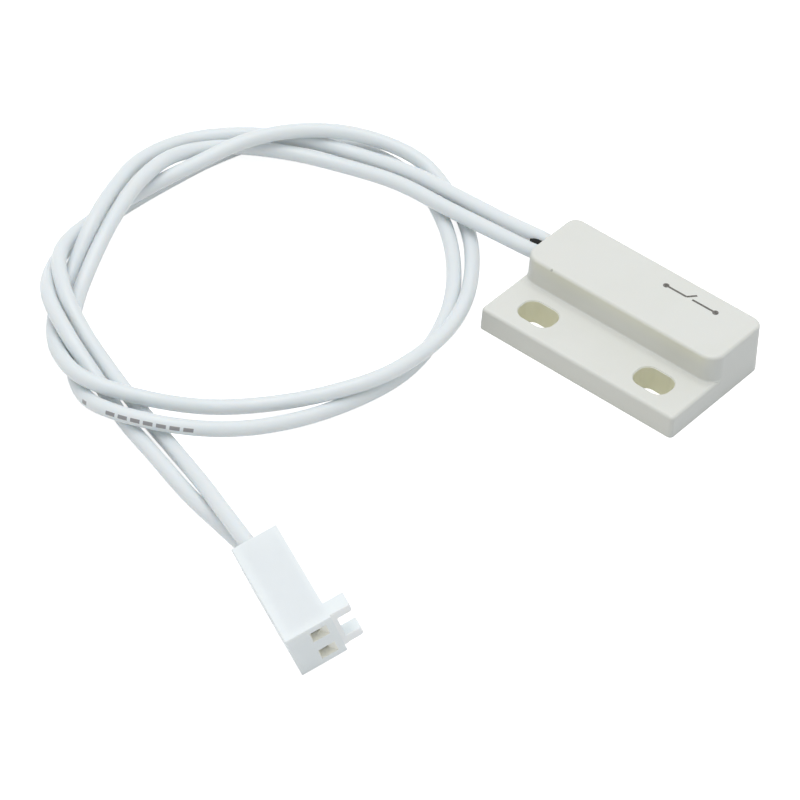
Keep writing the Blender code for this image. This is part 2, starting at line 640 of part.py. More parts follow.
def make_terminal(way):
    """Stamped crimp contact: pin box with a tang, strip, core grip and insulation grip."""
    middle = Matrix.Translation((0.0, PLUG_LEAD_Y, way_height(way)))
    frame = PLUG_FRAME @ middle @ Matrix.Rotation(math.radians(-90), 4, "X")
    name = f"terminal_{way + 1}"
    low, high = -GRIP_RADIUS, -GRIP_RADIUS + CONTACT_HEIGHT
    half = CONTACT_WIDTH / 2
    grip_start = -PLUG_LENGTH + GRIP_BACK
    grip_end = grip_start + GRIP_LENGTH
    core_start = -PLUG_LENGTH + CORE_GRIP_BACK
    core_end = core_start + CORE_GRIP_LENGTH
    grip_bore = LEAD_DIAMETER / 2 + GRIP_GAP

    contact = box((CONTACT_BACK, -half, low), (CONTACT_FRONT, half, high))
    terminal = mesh_object(name, contact, PARTS, TIN, frame)
    join(terminal, f"{name}_strip", box((grip_start, -STRIP_WIDTH / 2, low),
                                        (CONTACT_BACK + SHEET, STRIP_WIDTH / 2, low + SHEET)), frame)
    join(terminal, f"{name}_core_grip", rod((core_start, 0.0, CORE_GRIP_Z), (core_end, 0.0, CORE_GRIP_Z),
                                            CORE_GRIP_RADIUS, SMALL_SIDES), frame)
    join(terminal, f"{name}_grip", rod((grip_start, 0.0, 0.0), (grip_end, 0.0, 0.0), GRIP_RADIUS), frame)
    tang_end = CONTACT_BACK + TANG_LENGTH
    tang = [(tang_end, low + SHEET), (tang_end, low), (CONTACT_BACK, low - TANG_RISE),
            (CONTACT_BACK, low - TANG_RISE + SHEET), (CONTACT_BACK + TANG_LENGTH / 2, low + SHEET)]
    join(terminal, f"{name}_tang", loft([[(x, y, z) for x, z in tang]
                                         for y in (-TANG_WIDTH / 2, TANG_WIDTH / 2)]), frame)

    cut(terminal, f"{name}_pin_room", box((CONTACT_BACK - OVERRUN, -half + SHEET, low + SHEET),
                                          (CONTACT_FRONT + OVERRUN, half - SHEET, high - SHEET)), frame)
    cut(terminal, f"{name}_lead_room", rod((-PLUG_LENGTH - OVERRUN, 0.0, 0.0),
                                           (grip_end + END_GAP, 0.0, 0.0), grip_bore), frame)
    cut(terminal, f"{name}_grip_opening", box((grip_start - OVERRUN, -GRIP_OPENING / 2, 0.0),
                                              (grip_end + END_GAP, GRIP_OPENING / 2, CAVITY_HEIGHT)), frame)
    cut(terminal, f"{name}_core_room", rod((core_start - CORE_DIAMETER, 0.0, CORE_GRIP_Z),
                                           (core_end + CORE_DIAMETER, 0.0, CORE_GRIP_Z),
                                           CORE_DIAMETER / 2 + CORE_GRIP_GAP, SMALL_SIDES), frame)


def plug_point(way, x, aside=0.0):
    """A point on or beside a way's wire line, x from the mating face."""
    return PLUG_FRAME @ Vector((x, PLUG_LEAD_Y + aside, way_height(way)))


def make_plug_core(lead, way):
    """Bare core end that dips from the insulation into the core grip."""
    start = -PLUG_LENGTH + PLUG_LEAD_DEPTH + END_GAP
    grip = -PLUG_LENGTH + CORE_GRIP_BACK
    end = grip + CORE_GRIP_LENGTH + CORE_DIAMETER / 2
    step = (grip - start) / 3
    points = [plug_point(way, start), plug_point(way, start + step, CORE_GRIP_Z / 4),
              plug_point(way, grip - step, CORE_GRIP_Z * 3 / 4), plug_point(way, grip, CORE_GRIP_Z),
              plug_point(way, (grip + end) / 2, CORE_GRIP_Z), plug_point(way, end, CORE_GRIP_Z)]
    wire(f"core_{lead}_plug", smooth_path(points, CORE_DIAMETER / 2), CORE_DIAMETER / 2, COPPER)


def make_lead(lead, route, depth, y, way):
    """One insulated lead from inside the sensor to inside the plug."""
    count = max(1, round(depth / ROUTE_SPACING))
    inside = [(LEAD_END + depth * (1 - k / count), y, LEAD_HEIGHT) for k in range(count + 1)]
    inside.append((LEAD_END - LEAD_DIAMETER, y, LEAD_HEIGHT))
    middle = [Vector(point) * MM for point in route]
    ends = [plug_point(way, -PLUG_LENGTH - LEAD_DIAMETER), plug_point(way, -PLUG_LENGTH),
            plug_point(way, -PLUG_LENGTH + PLUG_LEAD_DEPTH)]
    path = smooth_path(inside + middle + ends, TUBE_STEP)
    wire(f"lead_{lead}", path, LEAD_DIAMETER / 2, PVC)


make_housing()
make_capsule()
make_reed("reed_left", -1)
make_reed("reed_right", 1)
make_sensor_cores()
make_resin()
make_plug()
for way_number in range(PLUG_WAYS):
    make_terminal(way_number)
make_plug_core("a", 1)
make_plug_core("b", 0)
make_lead("a", ROUTE_A, FAR_LEAD_DEPTH, LEAD_A_Y, 1)
make_lead("b", ROUTE_B, NEAR_LEAD_DEPTH, LEAD_B_Y, 0)
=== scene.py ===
import json
import math

import bmesh
import bpy
from mathutils import Matrix, Vector

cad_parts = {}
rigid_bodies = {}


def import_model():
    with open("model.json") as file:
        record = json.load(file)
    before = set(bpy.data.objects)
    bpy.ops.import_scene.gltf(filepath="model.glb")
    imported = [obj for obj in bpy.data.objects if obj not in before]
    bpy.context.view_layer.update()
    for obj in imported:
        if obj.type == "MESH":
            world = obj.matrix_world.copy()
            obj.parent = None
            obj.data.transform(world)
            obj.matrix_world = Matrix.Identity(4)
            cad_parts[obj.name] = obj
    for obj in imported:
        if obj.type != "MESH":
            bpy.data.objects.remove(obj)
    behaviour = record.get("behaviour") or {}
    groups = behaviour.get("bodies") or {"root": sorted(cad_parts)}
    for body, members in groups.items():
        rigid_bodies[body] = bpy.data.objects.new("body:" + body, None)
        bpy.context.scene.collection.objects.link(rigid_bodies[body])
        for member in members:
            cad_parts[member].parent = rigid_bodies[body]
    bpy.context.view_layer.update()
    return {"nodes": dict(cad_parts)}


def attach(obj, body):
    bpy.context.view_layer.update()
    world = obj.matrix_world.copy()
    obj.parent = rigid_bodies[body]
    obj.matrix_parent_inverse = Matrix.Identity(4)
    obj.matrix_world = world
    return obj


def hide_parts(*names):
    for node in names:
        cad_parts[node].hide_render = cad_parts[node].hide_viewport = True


# Start from an empty file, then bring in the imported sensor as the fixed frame
for leftover in list(bpy.data.objects):
    bpy.data.objects.remove(leftover, do_unlink=True)
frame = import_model()
mm = 0.001
body = "sensor"  # the body that everything outside the capsule rides on
print("frame loaded")


# Camera at the photograph's angle

photoView = {
    "azimuth": 37.17, "elevation": 42.02, "roll": 3.97,  # degrees
    "distance": 430.55 * mm,  # along the view, to the frame's origin
    "right": 20.97 * mm, "up": 5.14 * mm,  # where the origin lies from the middle of the view
    "focal": 202.5, "sensor": 36.0,  # the lens, in millimetres
}


def placeCamera(view):
    azimuth, elevation, roll = (math.radians(view[k]) for k in ("azimuth", "elevation", "roll"))
    flat = Vector((math.sin(azimuth), -math.cos(azimuth), 0))
    back = flat * math.cos(elevation) + Vector((0, 0, math.sin(elevation)))
    across = Vector((math.cos(azimuth), math.sin(azimuth), 0))
    upright = back.cross(across)
    right = across * math.cos(roll) + upright * math.sin(roll)
    up = upright * math.cos(roll) - across * math.sin(roll)
    data = bpy.data.cameras.new("photoCamera")
    data.lens, data.sensor_width = view["focal"], view["sensor"]
    data.clip_start, data.clip_end = 0.01, 10
    camera = bpy.data.objects.new("photoCamera", data)
    bpy.context.scene.collection.objects.link(camera)
    turn = Matrix((right, up, back)).transposed().to_4x4()
    place = back * view["distance"] - right * view["right"] - up * view["up"]
    camera.matrix_world = Matrix.Translation(place) @ turn
    bpy.context.scene.camera = camera


placeCamera(photoView)
print("camera placed")


# Shader helpers and the effects that several finishes share

mouldedDetail = {
    "flowScale": 160.0, "flowFrom": 0.42, "flowGain": 3.2,  # where the flow marks show, and how strongly
    "grainDepth": 0.02 * mm, "roughnessSwing": 0.16,
}
drawnDetail = {
    "patchScale": 1400.0, "roughnessSwing": 0.2,
    "lineScale": 30000.0, "lineStretch": (0.05, 1.0, 1.0), "lineDepth": 0.01 * mm, "lineStrength": 0.25,
}


def link(tree, source, target):
    tree.links.new(source, target)


def mathNode(tree, operation, first, second=None, third=None, clamp=False):
    node = tree.nodes.new("ShaderNodeMath")
    node.operation = operation
    node.use_clamp = clamp
    for slot, value in enumerate((first, second, third)):
        if value is None:
            continue
        if isinstance(value, (int, float)):
            node.inputs[slot].default_value = value
        else:
            link(tree, value, node.inputs[slot])
    return node.outputs[0]


def noiseNode(tree, coords, scale, detail=2.0, roughness=0.5):
    node = tree.nodes.new("ShaderNodeTexNoise")
    node.inputs["Scale"].default_value = scale
    node.inputs["Detail"].default_value = detail
    node.inputs["Roughness"].default_value = roughness
    link(tree, coords, node.inputs["Vector"])
    return node.outputs["Fac"]


def rampNode(tree, value, start, end):
    # nought at the start, one at the end, eased between them
    node = tree.nodes.new("ShaderNodeMapRange")
    node.interpolation_type = "SMOOTHSTEP"
    node.inputs["From Min"].default_value, node.inputs["From Max"].default_value = start, end
    link(tree, value, node.inputs["Value"])
    return node.outputs["Result"]


def mixColour(tree, factor, first, second, blend="MIX"):
    node = tree.nodes.new("ShaderNodeMix")
    node.data_type = "RGBA"
    node.blend_type = blend
    for slot, value in ((0, factor), (6, first), (7, second)):
        if isinstance(value, (int, float)):
            node.inputs[slot].default_value = value
        elif isinstance(value, (tuple, list)):
            node.inputs[slot].default_value = (*value, 1.0)
        else:
            link(tree, value, node.inputs[slot])
    return node.outputs[2]


def effectGroup(name, inputs, outputs):
    tree = bpy.data.node_groups.new(name, "ShaderNodeTree")
    for label, kind, value in inputs:
        socket = tree.interface.new_socket(name=label, in_out="INPUT", socket_type=kind)
        if value is not None:
            socket.default_value = value
    for label, kind in outputs:
        tree.interface.new_socket(name=label, in_out="OUTPUT", socket_type=kind)
    return tree, tree.nodes.new("NodeGroupInput"), tree.nodes.new("NodeGroupOutput")


def mouldedSurfaceGroup():
    # the fine satin grain and faint flow marks of a moulded plastic
    number, colour, vector = "NodeSocketFloat", "NodeSocketColor", "NodeSocketVector"
    tree, given, made = effectGroup(
        "mouldedSurface",
        (("Colour", colour, (0.7, 0.7, 0.7, 1)), ("Flow Colour", colour, (0.6, 0.6, 0.6, 1)),
         ("Flow", number, 0.3), ("Grain Scale", number, 9000.0), ("Grain", number, 0.2),
         ("Roughness", number, 0.45)),
        (("Colour", colour), ("Roughness", number), ("Normal", vector)))
    coords = tree.nodes.new("ShaderNodeTexCoord").outputs["Object"]
    flow = noiseNode(tree, coords, mouldedDetail["flowScale"], detail=3.0, roughness=0.55)
    shown = mathNode(tree, "SUBTRACT", flow, mouldedDetail["flowFrom"], clamp=True)
    spread = mathNode(tree, "MULTIPLY", shown, mouldedDetail["flowGain"], clamp=True)
    amount = mathNode(tree, "MULTIPLY", spread, given.outputs["Flow"])
    link(tree, mixColour(tree, amount, given.outputs["Colour"], given.outputs["Flow Colour"]),
         made.inputs["Colour"])
    grain = tree.nodes.new("ShaderNodeTexNoise")
    grain.inputs["Detail"].default_value = 2.0
    link(tree, coords, grain.inputs["Vector"])
    link(tree, given.outputs["Grain Scale"], grain.inputs["Scale"])
    swing = mathNode(tree, "MULTIPLY", mathNode(tree, "SUBTRACT", grain.outputs["Fac"], 0.5),
                     mouldedDetail["roughnessSwing"])
    link(tree, mathNode(tree, "ADD", given.outputs["Roughness"], swing, clamp=True),
         made.inputs["Roughness"])
    bump = tree.nodes.new("ShaderNodeBump")
    bump.inputs["Distance"].default_value = mouldedDetail["grainDepth"]
    link(tree, given.outputs["Grain"], bump.inputs["Strength"])
    link(tree, grain.outputs["Fac"], bump.inputs["Height"])
    link(tree, bump.outputs["Normal"], made.inputs["Normal"])
    return tree


def drawnMetalGroup():
    # drawing lines, dull patches and a little tarnish on bare metal
    number, colour, vector = "NodeSocketFloat", "NodeSocketColor", "NodeSocketVector"
    tree, given, made = effectGroup(
        "drawnMetal",
        (("Colour", colour, (0.7, 0.7, 0.7, 1)), ("Tarnish", colour, (0.4, 0.36, 0.3, 1)),
         ("Amount", number, 0.3), ("Roughness", number, 0.3)),
        (("Colour", colour), ("Roughness", number), ("Normal", vector)))
    coords = tree.nodes.new("ShaderNodeTexCoord").outputs["Object"]
    patches = noiseNode(tree, coords, drawnDetail["patchScale"], detail=3.0, roughness=0.6)
    amount = mathNode(tree, "MULTIPLY", patches, given.outputs["Amount"])
    link(tree, mixColour(tree, amount, given.outputs["Colour"], given.outputs["Tarnish"]),
         made.inputs["Colour"])
    uneven = mathNode(tree, "MULTIPLY_ADD", patches, drawnDetail["roughnessSwing"],
                      given.outputs["Roughness"], clamp=True)
    link(tree, uneven, made.inputs["Roughness"])
    stretch = tree.nodes.new("ShaderNodeMapping")
    stretch.inputs["Scale"].default_value = drawnDetail["lineStretch"]
    link(tree, coords, stretch.inputs["Vector"])
    lines = noiseNode(tree, stretch.outputs[0], drawnDetail["lineScale"])
    bump = tree.nodes.new("ShaderNodeBump")
    bump.inputs["Distance"].default_value = drawnDetail["lineDepth"]
    bump.inputs["Strength"].default_value = drawnDetail["lineStrength"]
    link(tree, lines, bump.inputs["Height"])
    link(tree, bump.outputs["Normal"], made.inputs["Normal"])
    return tree


mouldedSurface = mouldedSurfaceGroup()
drawnMetal = drawnMetalGroup()


def startMaterial(name):
    made = bpy.data.materials.new(name)
    made.use_nodes = True
    tree = made.node_tree
    return made, tree, tree.nodes["Principled BSDF"]


def useGroup(tree, group, **values):
    node = tree.nodes.new("ShaderNodeGroup")
    node.node_tree = group
    for label, value in values.items():
        socket = node.inputs[label.replace("_", " ")]
        socket.default_value = (*value, 1.0) if isinstance(value, tuple) else value
    return node


def mouldedPlastic(name, finish):
    made, tree, shader = startMaterial(name)
    effect = useGroup(tree, mouldedSurface, Colour=finish["colour"], Flow_Colour=finish["flowColour"],
                      Flow=finish["flow"], Grain=finish["grain"], Roughness=finish["roughness"])
    link(tree, effect.outputs["Colour"], shader.inputs["Base Color"])
    link(tree, effect.outputs["Roughness"], shader.inputs["Roughness"])
    link(tree, effect.outputs["Normal"], shader.inputs["Normal"])
    shader.inputs["IOR"].default_value = finish["ior"]
    shader.inputs["Subsurface Weight"].default_value = finish["scatter"]
    shader.inputs["Subsurface Radius"].default_value = finish["scatterRadius"]
    shader.inputs["Subsurface Scale"].default_value = mm
    return made, tree, shader, effect


def bareMetal(name, finish):
    made, tree, shader = startMaterial(name)
    effect = useGroup(tree, drawnMetal, Colour=finish["colour"], Tarnish=finish["tarnish"],
                      Amount=finish["amount"], Roughness=finish["roughness"])
    link(tree, effect.outputs["Colour"], shader.inputs["Base Color"])
    link(tree, effect.outputs["Roughness"], shader.inputs["Roughness"])
    link(tree, effect.outputs["Normal"], shader.inputs["Normal"])
    shader.inputs["Metallic"].default_value = 1.0
    return made


# Mesh helpers

def loft(sections):
    # skins a row of closed sections and caps both ends
    bm = bmesh.new()
    rings = [[bm.verts.new(p) for p in section] for section in sections]
    count = len(rings[0])
    for low, high in zip(rings, rings[1:]):
        for i in range(count):
            j = (i + 1) % count
            bm.faces.new((low[i], low[j], high[j], high[i]))
    bm.faces.new(rings[0])
    bm.faces.new(rings[-1])
    return bm


def roundedOutline(low, high, radius, steps=12, farRadius=None):
    # farRadius is for the two corners on the high side, where it differs
    far = radius if farRadius is None else farRadius
    corners = ((low[0], low[1], 1, 1, 180, radius), (high[0], low[1], -1, 1, 270, radius),
               (high[0], high[1], -1, -1, 0, far), (low[0], high[1], 1, -1, 90, far))
    points = []
    for x, y, sideX, sideY, start, r in corners:
        for k in range(steps + 1):
            angle = math.radians(start + 90 * k / steps)
            points.append((x + r * (sideX + math.cos(angle)), y + r * (sideY + math.sin(angle))))
    return points


def edgeRound(size, steps=6):
    # inset and drop along a quarter round, from the wall to the top
    angles = [math.radians(90 * k / steps) for k in range(steps + 1)]
    return [(size * (1 - math.cos(a)), size * (1 - math.sin(a))) for a in angles]


def boxForm(low, high):
    bm = bmesh.new()
    bmesh.ops.create_cube(bm, size=1.0)
    size = Vector(high) - Vector(low)
    bm.transform(Matrix.Translation((Vector(low) + Vector(high)) / 2) @ Matrix.Diagonal((*size, 1)))
    return bm


def makeObject(name, bm):
    bmesh.ops.recalc_face_normals(bm, faces=bm.faces)
    if bm.calc_volume(signed=True) < 0:
        bmesh.ops.reverse_faces(bm, faces=bm.faces)
    mesh = bpy.data.meshes.new(name)
    bm.to_mesh(mesh)
    bm.free()
    made = bpy.data.objects.new(name, mesh)
    bpy.context.scene.collection.objects.link(made)
    return made


def bake(piece):
    # swaps the piece's mesh for what its modifiers make of it
    bpy.context.view_layer.update()
    seen = piece.evaluated_get(bpy.context.evaluated_depsgraph_get())
    mesh = bpy.data.meshes.new_from_object(seen)
    piece.modifiers.clear()
    piece.data = mesh
    mesh.name = piece.name
    return piece


def carve(piece, bm, operation="DIFFERENCE"):
    tool = makeObject("tool", bm)
    step = piece.modifiers.new("carve", "BOOLEAN")
    step.operation, step.solver, step.object = operation, "EXACT", tool
    bake(piece)
    bpy.data.objects.remove(tool, do_unlink=True)


def softenEdges(piece, width, segments, angle):
    bevel = piece.modifiers.new("soften", "BEVEL")
    bevel.width, bevel.segments = width, segments
    bevel.limit_method, bevel.angle_limit = "ANGLE", math.radians(angle)
    bake(piece)


def smoothShade(piece, sharpAngle=38):
    # smooth on the rounds, flat on the faces
    piece.data.shade_smooth()
    piece.data.set_sharp_from_angle(angle=math.radians(sharpAngle))
    weights = piece.modifiers.new("weights", "WEIGHTED_NORMAL")
    weights.keep_sharp = True
    bake(piece)


def finishPiece(piece, slot, *nodes):
    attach(piece, body)
    if nodes:
        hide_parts(*nodes)


# Moulded sensor housing: the solid's outer sizes, with finer rounds and slightly narrower slots

housing = {
    "length": 23.2 * mm, "depth": 14.2 * mm, "height": 5.5 * mm, "draft": 0.1 * mm,
    "bodyWidth": 8.0 * mm, "flange": 2.5 * mm, "flangeRoot": 2.0 * mm,
    "bodyCorner": 1.6 * mm, "backCorner": 1.2 * mm, "flangeCorner": 0.45 * mm,
    "bodyEdge": 0.36 * mm, "flangeEdge": 0.35 * mm, "footFillet": 0.20 * mm,
    "slotSpacing": 13.9 * mm, "slotWidth": 2.92 * mm, "slotLength": 3.98 * mm, "slotCorner": 1.2 * mm,
    "slotToFront": 3.12 * mm, "slotEdge": 0.08 * mm, "slotDraft": 0.28 * mm,
    "slotReach": 0.02 * mm,  # faces this near a slot's outline take its warmer colour of painted light
    "pocketWidth": 5.5 * mm, "pocketHeight": 3.7 * mm, "pocketEnd": 9.7 * mm,
    "pocketCorner": 0.4 * mm, "pocketMouth": 0.15 * mm,
}
bodyFront = housing["depth"] / 2 - housing["bodyWidth"]
bodyMiddle = housing["depth"] / 2 - housing["bodyWidth"] / 2
axisHeight = housing["height"] / 2
leadEnd = -housing["length"] / 2
overrun = 1.0 * mm


def bodyForm():
    h, half = housing, housing["length"] / 2
    levels = [(0.0, h["footFillet"], 0.0)]
    levels += [(h["flange"] + rise, spread, 0.0) for spread, rise in reversed(edgeRound(h["footFillet"]))]
    levels += [(h["height"] - drop, 0.0, inset) for inset, drop in edgeRound(h["bodyEdge"])]
    sections = []
    for z, spread, inset in levels:
        outline = roundedOutline((-half + inset, bodyFront - spread + inset),
                                 (half - inset, h["depth"] / 2 - inset), h["bodyCorner"] - inset,
                                 farRadius=h["backCorner"] - inset)
        sections.append([(x, y, z) for x, y in outline])
    return loft(sections)


def flangeForm():
    h, half = housing, housing["length"] / 2
    levels = [(0.0, 0.0)] + [(h["flange"] - drop, inset) for inset, drop in edgeRound(h["flangeEdge"])]
    sections = []
    for z, inset in levels:
        outline = roundedOutline((-half + inset, -h["depth"] / 2 + inset),
                                 (half - inset, bodyFront + h["flangeRoot"] - inset),
                                 h["flangeCorner"] - inset)
        sections.append([(x, y, z) for x, y in outline])
    return loft(sections)


def slotForm(centreX, centreY):
    # a rounded rectangle, a little smaller at the underside
    h = housing
    edge = h["slotEdge"]
    depth = h["flange"] - edge
    levels = [(-overrun, -h["slotDraft"] * (depth + overrun) / depth)]
    levels += [(h["flange"] - (edge - drop), edge - inset)
               for inset, drop in reversed(edgeRound(edge, steps=4))]
    levels.append((h["flange"] + overrun, edge))
    sections = []
    for z, more in levels:
        halfX, halfY = h["slotLength"] / 2 + more, h["slotWidth"] / 2 + more
        outline = roundedOutline((centreX - halfX, centreY - halfY), (centreX + halfX, centreY + halfY),
                                 h["slotCorner"] + more)
        sections.append([(x, y, z) for x, y in outline])
    return loft(sections)


def pocketForm():
    h = housing
    stops = ((leadEnd - overrun, h["pocketMouth"]), (leadEnd, h["pocketMouth"]),
             (leadEnd + h["pocketMouth"], 0.0), (h["pocketEnd"], 0.0))
    sections = []
    for x, more in stops:
        halfY, halfZ = h["pocketWidth"] / 2 + more, h["pocketHeight"] / 2 + more
        outline = roundedOutline((bodyMiddle - halfY, axisHeight - halfZ),
                                 (bodyMiddle + halfY, axisHeight + halfZ), h["pocketCorner"], steps=5)
        sections.append([(x, y, z) for y, z in outline])
    return loft(sections)


housingFinish = {
    "colour": (0.745, 0.752, 0.715), "flowColour": (0.70, 0.705, 0.65), "flow": 0.35,
    "grain": 0.25, "roughness": 0.46, "ior": 1.55,
    "scatter": 0.10, "scatterRadius": (0.5, 0.4, 0.3),
    "wallShadeColour": (0.695, 0.695, 0.64),  # painted shade: the long walls are darker and warmer than the top
    "endShadeColour": (0.605, 0.622, 0.60),  # painted shade: the end walls darker still, and cooler
    "bandLightColour": (0.75, 0.745, 0.635), "bandFrom": 3.6 * mm, "bandTo": 5.4 * mm,  # painted light: a warmer band near the top of the front-facing walls, for light let through
    "speckAt": (-8.12 * mm, -0.86 * mm, 5.36 * mm), "speckColour": (0.50, 0.49, 0.44),
    "speckSize": 0.025 * mm, "speckRagged": 0.25 * mm, "speckScale": 7000.0,
}
# painted light: the walls of the slots take a warmer copy of the housing's finish, for the light that
# passes through the thin flange
slotLightFinish = dict(housingFinish, colour=(0.78, 0.77, 0.60), flowColour=(0.70, 0.69, 0.52))


def housingMaterial():
    made, tree, shader, effect = mouldedPlastic("housingPlastic", housingFinish)
    surface = tree.nodes.new("ShaderNodeNewGeometry")
    parts = tree.nodes.new("ShaderNodeSeparateXYZ")
    link(tree, surface.outputs["Normal"], parts.inputs[0])
    upright = mathNode(tree, "SUBTRACT", 1.0, parts.outputs["Z"], clamp=True)
    coords = tree.nodes.new("ShaderNodeTexCoord").outputs["Object"]
    place = tree.nodes.new("ShaderNodeSeparateXYZ")
    link(tree, coords, place.inputs[0])
    facingFront = mathNode(tree, "MULTIPLY", parts.outputs["Y"], -1.0, clamp=True)
    facingEnd = mathNode(tree, "ABSOLUTE", parts.outputs["X"])
    # painted light: a warm band near the top of the walls that face the front
    band = rampNode(tree, place.outputs["Z"], housingFinish["bandFrom"], housingFinish["bandTo"])
    side = mixColour(tree, mathNode(tree, "MULTIPLY", band, facingFront),
                     housingFinish["wallShadeColour"], housingFinish["bandLightColour"])
    # painted shade: by which way each face points, the walls take darker colours than the top, the end
    # walls the darkest
    side = mixColour(tree, facingEnd, side, housingFinish["endShadeColour"])
    wall = mixColour(tree, upright, effect.outputs["Colour"], side)
    away = tree.nodes.new("ShaderNodeVectorMath")
    away.operation = "DISTANCE"
    away.inputs[1].default_value = housingFinish["speckAt"]
    link(tree, coords, away.inputs[0])
    ragged = mathNode(tree, "MULTIPLY_ADD", noiseNode(tree, coords, housingFinish["speckScale"]),
                      -housingFinish["speckRagged"], away.outputs["Value"])
    speck = mathNode(tree, "LESS_THAN", ragged, housingFinish["speckSize"])
    link(tree, mixColour(tree, speck, wall, housingFinish["speckColour"]), shader.inputs["Base Color"])
    return made


def makeHousing():
    piece = makeObject("sensorHousing", bodyForm())
    carve(piece, flangeForm(), "UNION")
    taper = piece.modifiers.new("draft", "SIMPLE_DEFORM")
    taper.deform_method, taper.deform_axis = "TAPER", "Z"
    taper.factor = -2 * housing["draft"] / housing["length"]
    bake(piece)
    slotY = -housing["depth"] / 2 + housing["slotToFront"]
    slotX = housing["slotSpacing"] / 2
    for side in (-1, 1):
        carve(piece, slotForm(side * slotX, slotY))
    carve(piece, pocketForm())
    piece.data.materials.clear()
    piece.data.materials.append(housingMaterial())
    piece.data.materials.append(mouldedPlastic("slotWallPaintedLight", slotLightFinish)[0])
    # the slots' walls take the copy with painted light
    halfX = housing["slotLength"] / 2 + housing["slotReach"]
    halfY = housing["slotWidth"] / 2 + housing["slotReach"]
    for face in piece.data.polygons:
        x, y = face.center.xy
        nearSlot = abs(abs(x) - slotX) < halfX and abs(y - slotY) < halfY
        face.material_index = 1 if nearSlot and abs(face.normal.z) < 0.5 else 0
    smoothShade(piece)
    finishPiece(piece, "housing", "housing")


makeHousing()
print("housing made")


# Printed switch symbol on the housing's top, in millimetres from the frame's origin

switchMark = {
    "leftDot": (1.39, 4.79), "bladeKink": (3.82, 4.80), "bladeTip": (4.49, 5.61),
    "fixedStart": (4.49, 4.82), "rightDot": (7.23, 4.84),
    "dotDiameter": 0.62, "lineWidth": 0.22, "proud": 0.012, "sunk": 0.02,
}
markFinish = {
    "colour": (0.10, 0.095, 0.085), "fade": (0.30, 0.29, 0.27), "roughness": 0.8,
    "fadeScale": 5200.0, "fadeFrom": 0.4, "fadeGain": 2.6,
}


def markMaterial():
    made, tree, shader = startMaterial("laserMark")
    coords = tree.nodes.new("ShaderNodeTexCoord").outputs["Object"]
    fade = noiseNode(tree, coords, markFinish["fadeScale"], detail=3.0, roughness=0.7)
    shown = mathNode(tree, "SUBTRACT", fade, markFinish["fadeFrom"], clamp=True)
    uneven = mathNode(tree, "MULTIPLY", shown, markFinish["fadeGain"], clamp=True)
    link(tree, mixColour(tree, uneven, markFinish["colour"], markFinish["fade"]),
         shader.inputs["Base Color"])
    shader.inputs["Roughness"].default_value = markFinish["roughness"]
    return made


def markLine(start, end):
    start, end = Vector(start), Vector(end)
    run = (end - start).normalized()
    side = Vector((-run.y, run.x)) * switchMark["lineWidth"] / 2
    return [start + side, start - side, end - side, end + side]


def markDot(centre, sides=28):
    radius = switchMark["dotDiameter"] / 2
    turns = [2 * math.pi * k / sides for k in range(sides)]
    return [Vector(centre) + Vector((math.cos(a), math.sin(a))) * radius for a in turns]


def markForm(outline):
    top = housing["height"] / mm
    heights = (top - switchMark["sunk"], top + switchMark["proud"])
    return loft([[Vector((p.x, p.y, z)) * mm for p in outline] for z in heights])


def makeSwitchMark():
    m = switchMark
    piece = makeObject("switchSymbol", markForm(markDot(m["leftDot"])))
    for outline in (markDot(m["rightDot"]), markLine(m["leftDot"], m["bladeKink"]),
                    markLine(m["bladeKink"], m["bladeTip"]), markLine(m["fixedStart"], m["rightDot"])):
        carve(piece, markForm(outline), "UNION")
    piece.data.materials.clear()
    piece.data.materials.append(markMaterial())
    finishPiece(piece, "resin")


makeSwitchMark()
print("switch symbol made")


# Plug: the solid's sizes, but for flared pin openings and slightly longer lugs
# It lies behind its mating face, from nought to -x, with its lugs on the +y side

plug = {
    "corner": (6.4 * mm, -53.9 * mm, 0.0), "heading": -26.5, "roll": 21.3,  # degrees
    "length": 12.45 * mm, "width": 4.6 * mm, "pitch": 2.54 * mm, "ways": 2,
    "edge": 0.12 * mm, "soften": 0.05 * mm,
    "frontWall": 0.8 * mm, "cavityWidth": 3.25 * mm, "cavityHeight": 2.0 * mm, "cavitySideWall": 0.5 * mm,
    "openingWidth": 1.65 * mm, "openingHeight": 1.25 * mm, "openingMargin": 0.2 * mm,
    "openingFlare": 0.32 * mm, "flareDepth": 0.55 * mm,
    "windowStart": -5.0 * mm, "windowLength": 1.4 * mm, "windowHeight": 1.0 * mm,
    "lowLug": 1.45 * mm, "highLug": 1.7 * mm,  # from front to back
    "lugReach": 2.0 * mm, "lugThickness": 1.0 * mm, "lugSetback": 0.2 * mm, "lugLowMargin": 0.55 * mm,
    "lugRound": 0.3 * mm, "lugEdge": 0.14 * mm, "lugPad": 0.45 * mm,
    "leadY": 1.85 * mm, "leadDepth": 3.2 * mm,
    "faceReach": 0.01 * mm, "lugFrom": 0.05 * mm,  # where the openings' and lugs' painted light begins
}
plugFrame = (Matrix.Translation(plug["corner"]) @ Matrix.Rotation(math.radians(plug["heading"]), 4, "Z")
             @ Matrix.Rotation(math.radians(plug["roll"]), 4, "X"))
plugHeight = plug["pitch"] * plug["ways"]
cavityFar = plug["width"] - plug["cavitySideWall"]
plugFinish = {
    "colour": (0.87, 0.925, 0.945), "flowColour": (0.845, 0.895, 0.91), "flow": 0.3,
    "grain": 0.12, "roughness": 0.42, "ior": 1.53,
    "scatter": 0.4, "scatterRadius": (1.0, 0.95, 0.85),
}
# painted light: the openings take a warmer copy of the nylon and the lugs' front faces a brighter one, for
# light that comes through the nylon
openingLightFinish = dict(plugFinish, colour=(0.98, 0.975, 0.875), flowColour=(0.97, 0.955, 0.845))
lugLightFinish = dict(plugFinish, colour=(0.96, 0.99, 1.0), flowColour=(0.94, 0.97, 0.98))


def wayHeight(way):
    return plug["pitch"] * (way + 0.5)


